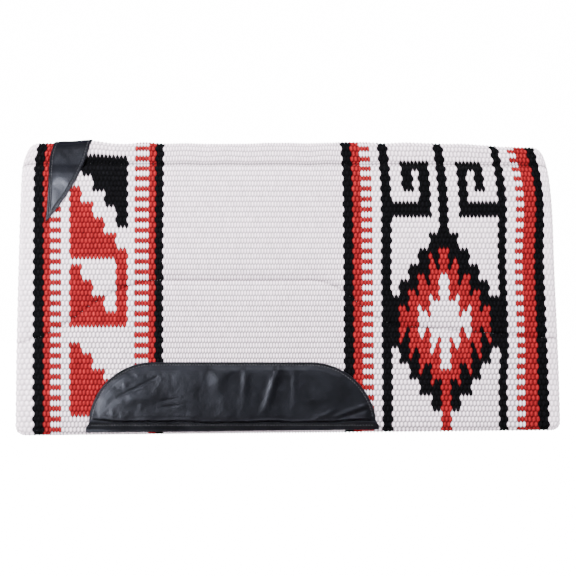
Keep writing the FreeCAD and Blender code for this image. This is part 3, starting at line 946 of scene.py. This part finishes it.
# Felt
def build_lining(side):
    """Felt lining of one half, from the fold to just inside the turned hem."""
    a, b = sheet_grid(LINING_GRID, (-1, 0), (1, 1))
    half = HALF_LENGTH - LINING_INSET
    x = a * half
    deep = hem_depth(x) - LINING_INSET
    s = b * deep
    dx = np.maximum(np.abs(x) - (half - LINING_CORNER), 0)
    ds = np.maximum(s - (deep - LINING_CORNER), 0)
    angle, reach = corner_angle(dx, ds)
    both = (dx > 0) & (ds > 0)
    x = np.where(both, np.sign(x) * (half - LINING_CORNER + reach * np.cos(angle)), x)
    s = np.where(both, deep - LINING_CORNER + reach * np.sin(angle), s)
    edge = np.where(both, LINING_CORNER - reach, np.minimum(half - np.abs(x), deep - s))
    seam = bell(s - contour_depth(x), 5) + 0.7 * bell(s - SEAM_DEPTH, 4)
    fuzz = 0.25 * np.sin(x / 7.1 + s / 5.3) * np.sin(s / 8.7 - x / 6.1)
    proud = 1 * np.sqrt(np.clip(edge / 4, 0, 1)) - 0.5
    inner = on_pad(side, x, s, bottom_offset(s) - proud + 0.9 * seam + fuzz)
    outer = on_pad(side, x, s, bottom_offset(s) + LINING_LAP)
    return closed_shell(f"{SIDE_NAMES[side]}_lining_felt", inner, outer, side == OFF)


def build_insert(side, name, ends, half):
    """A felt insert inside the flap, between two depths that may vary with x."""
    a, b = sheet_grid(INSERT_GRID, (-1, 0), (1, 1))
    x = a * half
    upper, lower = ends(x)
    s = upper + (lower - upper) * b
    edge = np.minimum(half - np.abs(x), np.minimum(s - upper, lower - s))
    fill = np.sqrt(np.clip(edge / 4, 0.05, 1))
    dent = 0.25 * np.sin(x / 9) * np.sin(s / 7)
    outer = on_pad(side, x, s, INSERT_MIDDLE + (INSERT_HALF_THICK + dent) * fill)
    inner = on_pad(side, x, s, INSERT_MIDDLE - (INSERT_HALF_THICK + dent) * fill)
    return closed_shell(f"{SIDE_NAMES[side]}_{name}_insert_felt", outer, inner, side == NEAR)


def upper_insert_ends(x):
    """Depths of the felt between the spine seam and the contour seam."""
    return UPPER_INSERT_FROM, contour_depth(x) - INSERT_GAP


def lower_insert_ends(x):
    """Depths of the felt between the contour seam and the hem."""
    return contour_depth(x) + INSERT_GAP, LOWER_INSERT_TO


# Stitching
def stations_along(points):
    """Stitch holes, evenly spaced along a run of (x, depth) points."""
    points = np.array(points, float)
    steps = np.hypot(*np.diff(points, axis=0).T)
    run = np.concatenate([[0], np.cumsum(steps)])
    count = max(int(round(run[-1] / STITCH_PITCH)), 1)
    holes = np.linspace(0, run[-1], count + 1)
    return np.stack([np.interp(holes, run, points[:, 0]), np.interp(holes, run, points[:, 1])], axis=-1)


def thread_faces(base):
    """Quads of one thread's tube and its two ends, whose first point has the number base."""
    around = THREAD_POINTS
    quads = []
    for k in range(THREAD_STATIONS - 1):
        low = base + k * around
        for m in range(around):
            n = (m + 1) % around
            quads.append((low + m, low + n, low + around + n, low + around + m))
    tip = base + (THREAD_STATIONS - 1) * around
    quads += [tuple(base + m for m in cap) for cap in ((3, 2, 1, 0), (7, 6, 5, 4), (4, 3, 0, 7))]
    quads += [tuple(tip + m for m in cap) for cap in ((0, 1, 2, 3), (4, 5, 6, 7), (7, 0, 3, 4))]
    return quads


def build_stitches(name, side, runs, face):
    """Stitches as short arched threads whose ends go down into the face."""
    rings = []
    quads = []
    for run in runs:
        holes = stations_along(run)
        for start, end in zip(holes[:-1], holes[1:]):
            quads += thread_faces(len(rings) * THREAD_POINTS)
            direction = (end - start) / np.hypot(*(end - start))
            for t in np.linspace(0, 1, THREAD_STATIONS):
                centre = start + (end - start) * (STITCH_START + STITCH_SPAN * t)
                rings.append((*centre, *direction, math.sin(math.pi * t)))
    x, s, heading_x, heading_s, arch = np.array(rings).T[:, :, None]
    turn = np.arange(THREAD_POINTS) / THREAD_POINTS * 2 * math.pi
    thick = THREAD * (0.55 + 0.45 * arch)
    x, s = x - heading_s * np.cos(turn) * thick, s + heading_x * np.cos(turn) * thick
    e = face(side, x, s) + np.sin(turn) * thick + 0.55 * arch - 0.35
    return make_mesh(name, on_pad(side, x, s, e), np.array(quads), side == OFF)


def spine_runs():
    """The spine seam, which stops each side of the withers leather."""
    front, rear = withers_edges(np.array([SEAM_DEPTH]))
    end = HALF_LENGTH - SPINE_MARGIN
    return [[(-end, SEAM_DEPTH), (front[0] - 2, SEAM_DEPTH)],
            [(rear[0] + 2, SEAM_DEPTH), (end, SEAM_DEPTH)]]


def contour_runs():
    """The contour seam."""
    end = HALF_LENGTH - CONTOUR_MARGIN
    x = np.linspace(-end, end, 160)
    return [np.stack([x, contour_depth(x)], axis=-1)]


def wear_runs():
    """Stitch rows of the wear leather: round its arch and along its hem."""
    inset_a = STITCH_INSET / (WEAR_REAR - WEAR_FRONT)
    inset_b = STITCH_INSET / (WEAR_BOTTOM - WEAR_TOP)
    low_b = (ARCH_ROW_END - WEAR_TOP) / (WEAR_BOTTOM - WEAR_TOP)
    up = [(inset_a, b) for b in np.linspace(low_b, inset_b, 40)]
    over = [(a, inset_b) for a in np.linspace(inset_a, 1 - inset_a, 120)]
    down = [(1 - inset_a, b) for b in np.linspace(inset_b, low_b, 40)]
    arch = np.array(up + over[1:] + down[1:])
    x, s, _ = wear_outline_map(arch[:, 0], arch[:, 1])
    hem = [(WEAR_FRONT + 4, LOWER_ROW), (WEAR_REAR - 4, LOWER_ROW)]
    return [np.stack([x, s], axis=-1), hem]


def withers_runs():
    """Stitch rows along both edges of the withers leather."""
    s = np.linspace(0, WITHERS_TIP - WITHERS_MARGIN, 60)
    front, rear = withers_edges(s)
    return [np.stack([front + STITCH_INSET, s], axis=-1), np.stack([rear - STITCH_INSET, s], axis=-1)]


def wear_face(side, x, s):
    """Face of the wear leather along its stitch rows."""
    return cover_face(side, x, s) + wear_height(side, x, s, arch_inset(x, s)) + 0.25


def withers_face(side, x, s):
    """Face of the withers leather along its stitch rows."""
    return withers_rest(side, x, s) + LEATHER - 0.3


# Materials
def set_inputs(node, values):
    """Set the unlinked inputs of a node by name."""
    for name, value in values.items():
        node.inputs[name].default_value = value


def new_material(name, base, roughness, more):
    """A material with plain values; returns it with its tree and shader."""
    material = bpy.data.materials.new(name)
    material.use_nodes = True
    shader = material.node_tree.nodes["Principled BSDF"]
    set_inputs(shader, {"Base Color": (*base, 1), "Roughness": roughness, **more})
    return material, material.node_tree, shader


def add_noise(tree, scale, detail, stretch=(1, 1, 1)):
    """A noise texture on object coordinates."""
    place = tree.nodes.new("ShaderNodeTexCoord")
    mapping = tree.nodes.new("ShaderNodeMapping")
    set_inputs(mapping, {"Scale": stretch})
    noise = tree.nodes.new("ShaderNodeTexNoise")
    set_inputs(noise, {"Scale": scale, "Detail": detail})
    tree.links.new(place.outputs["Object"], mapping.inputs["Vector"])
    tree.links.new(mapping.outputs["Vector"], noise.inputs["Vector"])
    return noise


def add_texture(tree, kind, scale):
    """A texture node on object coordinates."""
    place = tree.nodes.new("ShaderNodeTexCoord")
    texture = tree.nodes.new(kind)
    set_inputs(texture, {"Scale": scale})
    tree.links.new(place.outputs["Object"], texture.inputs["Vector"])
    return texture


def add_bump(tree, shader, source, strength, distance):
    """Bump from a texture's factor."""
    bump = tree.nodes.new("ShaderNodeBump")
    set_inputs(bump, {"Strength": strength, "Distance": distance})
    tree.links.new(source, bump.inputs["Height"])
    tree.links.new(bump.outputs["Normal"], shader.inputs["Normal"])


def add_ramp(tree, source, low, high, target):
    """Map a factor between two colours, into a target socket."""
    node = tree.nodes.new("ShaderNodeValToRGB")
    for element, colour, position in zip(node.color_ramp.elements, (low, high), (0.3, 0.7)):
        element.color = (*colour, 1)
        element.position = position
    tree.links.new(source, node.inputs["Fac"])
    tree.links.new(node.outputs["Color"], target)


def wool_material():
    """Thick wool yarn: colour by float with painted shade in its hollows and seams, fibre streaks and a
    soft sheen.
    """
    sheen = {"Specular IOR Level": 0.06, "Sheen Weight": 0.01, "Sheen Roughness": 0.6}
    material, tree, shader = new_material("wool_weave", (0.8, 0.8, 0.8), 0.92, sheen)
    colour = tree.nodes.new("ShaderNodeVertexColor")
    colour.layer_name = "wool"
    fibre = add_noise(tree, 260, 3, (2.2, 1, 0.7))
    mix = tree.nodes.new("ShaderNodeMix")
    mix.data_type = "RGBA"
    mix.blend_type = "MULTIPLY"
    set_inputs(mix, {"Factor": 1})
    tree.links.new(colour.outputs["Color"], mix.inputs["A"])
    add_ramp(tree, fibre.outputs["Fac"], (0.86, 0.86, 0.86), (1.08, 1.08, 1.08), mix.inputs["B"])
    tree.links.new(mix.outputs["Result"], shader.inputs["Base Color"])
    add_bump(tree, shader, fibre.outputs["Fac"], 0.5, 0.0006)
    return material


def leather_material():
    """Soft black garment leather with fine grain and uneven polish."""
    shine = {"Specular IOR Level": 0.45}
    material, tree, shader = new_material("black_leather_skin", (0.003, 0.003, 0.0045), 0.42, shine)
    broad = add_noise(tree, 26, 4).outputs["Fac"]
    add_ramp(tree, broad, (0.002, 0.002, 0.003), (0.004, 0.0043, 0.0065), shader.inputs["Base Color"])
    add_ramp(tree, broad, (0.30, 0.30, 0.30), (0.42, 0.42, 0.42), shader.inputs["Roughness"])
    grain = add_texture(tree, "ShaderNodeTexVoronoi", 620)
    add_bump(tree, shader, grain.outputs["Distance"], 0.35, 0.0004)
    return material


def felt_material(name, low, high):
    """Dense felt: mottled fibre colour and a matt, slightly rough face."""
    material, tree, shader = new_material(name, high, 0.95, {"Sheen Weight": 0.3})
    fibre = add_noise(tree, 190, 5).outputs["Fac"]
    add_ramp(tree, fibre, low, high, shader.inputs["Base Color"])
    add_bump(tree, shader, fibre, 0.6, 0.0008)
    return material


def thread_material(name, low, high):
    """Twisted sewing thread."""
    material, tree, shader = new_material(name, high, 0.6, {})
    twist = add_texture(tree, "ShaderNodeTexWave", 450)
    twist.bands_direction = "DIAGONAL"
    add_ramp(tree, twist.outputs["Fac"], low, high, shader.inputs["Base Color"])
    add_bump(tree, shader, twist.outputs["Fac"], 0.4, 0.0002)
    return material


# Stage
def choose(tree, question, yes, no=None):
    """The value yes for rays of one kind; for others the socket no, or nothing."""
    mix = tree.nodes.new("ShaderNodeMix")
    set_inputs(mix, {"A": 0, "B": yes})
    tree.links.new(question, mix.inputs["Factor"])
    if no:
        tree.links.new(no, mix.inputs["A"])
    return mix.outputs["Result"]


def world_light():
    """White behind the pad, even light on matt faces and a dimmer surround in reflections."""
    world = bpy.data.worlds.new("world")
    world.use_nodes = True
    tree = world.node_tree
    background = tree.nodes["Background"]
    set_inputs(background, {"Color": (1, 1, 1, 1)})
    path = tree.nodes.new("ShaderNodeLightPath")
    place = tree.nodes.new("ShaderNodeTexCoord")
    split = tree.nodes.new("ShaderNodeSeparateXYZ")
    tree.links.new(place.outputs["Generated"], split.inputs["Vector"])
    lift = tree.nodes.new("ShaderNodeMapRange")
    set_inputs(lift, {"From Min": -0.2, "From Max": 0.9, "To Min": SHADE_LOW, "To Max": SHADE_HIGH})
    tree.links.new(split.outputs["Z"], lift.inputs["Value"])
    shaded = choose(tree, path.outputs["Is Glossy Ray"], SHADE_GLOSSY, lift.outputs["Result"])
    strength = choose(tree, path.outputs["Is Camera Ray"], SHADE_WHITE, shaded)
    tree.links.new(strength, background.inputs["Strength"])
    bpy.context.scene.world = world


def add_floor():
    """A plain pale floor, bright enough to meet the white behind it."""
    mesh = bpy.data.meshes.new("floor")
    half = FLOOR_HALF
    corners = [(-half, -half, 0), (half, -half, 0), (half, half, 0), (-half, half, 0)]
    mesh.from_pydata(corners, [], [(0, 1, 2, 3)])
    floor = bpy.data.objects.new("floor", mesh)
    floor.location = (0, 0, FLOOR_LEVEL)
    bpy.context.scene.collection.objects.link(floor)
    floor.visible_glossy = False
    glow = {"Specular IOR Level": 0, "Emission Color": (1, 1, 1, 1)}
    white, tree, shader = new_material("floor_white", (0.8, 0.8, 0.8), 1, glow)
    path = tree.nodes.new("ShaderNodeLightPath")
    strength = choose(tree, path.outputs["Is Camera Ray"], SHADE_WHITE)
    tree.links.new(strength, shader.inputs["Emission Strength"])
    mesh.materials.append(white)


def add_light(place, energy, wide):
    """A soft square light that looks at the pad and lights its matt faces only."""
    light = bpy.data.lights.new("soft_light", "AREA")
    light.energy = energy
    light.size = wide
    lamp = bpy.data.objects.new("soft_light", light)
    lamp.location = place
    lamp.visible_glossy = False
    direction = LIGHT_AIM - Vector(place)
    lamp.rotation_euler = direction.to_track_quat("-Z", "Y").to_euler()
    bpy.context.scene.collection.objects.link(lamp)
    return lamp


def add_sheen(place, energy, wide, receivers=None):
    """A cool light that shows only in reflections, of all pieces or of one collection."""
    lamp = add_light(place, energy, wide)
    lamp.data.color = SHEEN_COLOUR
    lamp.visible_diffuse = False
    lamp.visible_glossy = True
    if receivers:
        lamp.light_linking.receiver_collection = receivers
    return lamp


def add_camera():
    """A long lens, square to the near side."""
    camera_data = bpy.data.cameras.new("camera")
    camera_data.lens = LENS
    camera_data.clip_end = CLIP_END
    camera = bpy.data.objects.new("camera", camera_data)
    distance = FRAME_WIDTH * camera_data.lens / camera_data.sensor_width
    camera.location = (0, NEAR_FACE - distance, CAMERA_HEIGHT)
    camera.rotation_euler = (math.pi / 2, 0, 0)
    bpy.context.scene.collection.objects.link(camera)
    bpy.context.scene.camera = camera


def stage_and_camera():
    """The surround, the floor, the lights and the camera."""
    world_light()
    add_floor()
    for light in MATT_LIGHTS:
        add_light(*light)
    add_sheen(*SHEEN)
    withers_sheen = add_sheen(*WITHERS_SHEEN, WITHERS_GLARE)
    withers_sheen.data.shape = "RECTANGLE"
    withers_sheen.data.size_y = WITHERS_SHEEN_HEIGHT
    add_sheen(*WEAR_SHEEN, WEAR_GLARE)
    add_camera()


# Assembly
def attach(piece, material, side, nodes):
    """Give a piece its material and hide the nodes it replaces; a piece for one node is linked to its
    flap's frame, and one that replaces a crown node as well keeps its baked placement.
    """
    piece.data.materials.append(material)
    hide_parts(*nodes)
    if len(nodes) == 1:
        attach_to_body(piece, BODIES[side])
        return
    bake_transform(piece)


def build_side(side):
    """All the pieces of one half."""
    name = SIDE_NAMES[side]
    attach(build_cover(side), wool, side, [f"{name}_cover", "crown_cover"])
    attach(build_lining(side), lining_felt, side, [f"{name}_lining", "crown_lining"])
    withers = build_withers_leather(side)
    WITHERS_GLARE.objects.link(withers)
    attach(withers, leather, side, [f"{name}_withers_leather", "crown_withers_leather"])
    wear = build_wear_leather(side)
    WEAR_GLARE.objects.link(wear)
    attach(wear, leather, side, [f"{name}_wear_leather"])
    upper = build_insert(side, "upper", upper_insert_ends, UPPER_INSERT_HALF)
    attach(upper, insert_felt, side, [f"{name}_upper_insert"])
    lower = build_insert(side, "lower", lower_insert_ends, LOWER_INSERT_HALF)
    attach(lower, insert_felt, side, [f"{name}_lower_insert"])
    for row, runs, face, thread, slot, crown in STITCH_ROWS:
        seam = build_stitches(f"{name}_{row}_stitches", side, runs(), face)
        attach(seam, thread, side, [f"{name}_{row}_stitching"] + crown)


WITHERS_GLARE = bpy.data.collections.new("withers_glare")
WEAR_GLARE = bpy.data.collections.new("wear_glare")

make_drapes()
wool = wool_material()
leather = leather_material()
lining_felt = felt_material("lining_felt", (0.20, 0.19, 0.175), (0.33, 0.315, 0.29))
insert_felt = felt_material("insert_felt", (0.14, 0.135, 0.13), (0.30, 0.29, 0.28))
pale_thread = thread_material("pale_thread", (0.045, 0.045, 0.05), (0.09, 0.09, 0.095))
black_thread = thread_material("black_thread", (0.02, 0.02, 0.024), (0.055, 0.055, 0.06))
STITCH_ROWS = [
    ("spine", spine_runs, groove_face, pale_thread, "wool_thread", []),
    ("contour", contour_runs, groove_face, pale_thread, "wool_thread", []),
    ("wear", wear_runs, wear_face, black_thread, "leather_thread", []),
    ("withers", withers_runs, withers_face, black_thread, "leather_thread", ["crown_withers_stitching"]),
]
for flap in (NEAR, OFF):
    build_side(flap)

stage_and_camera()
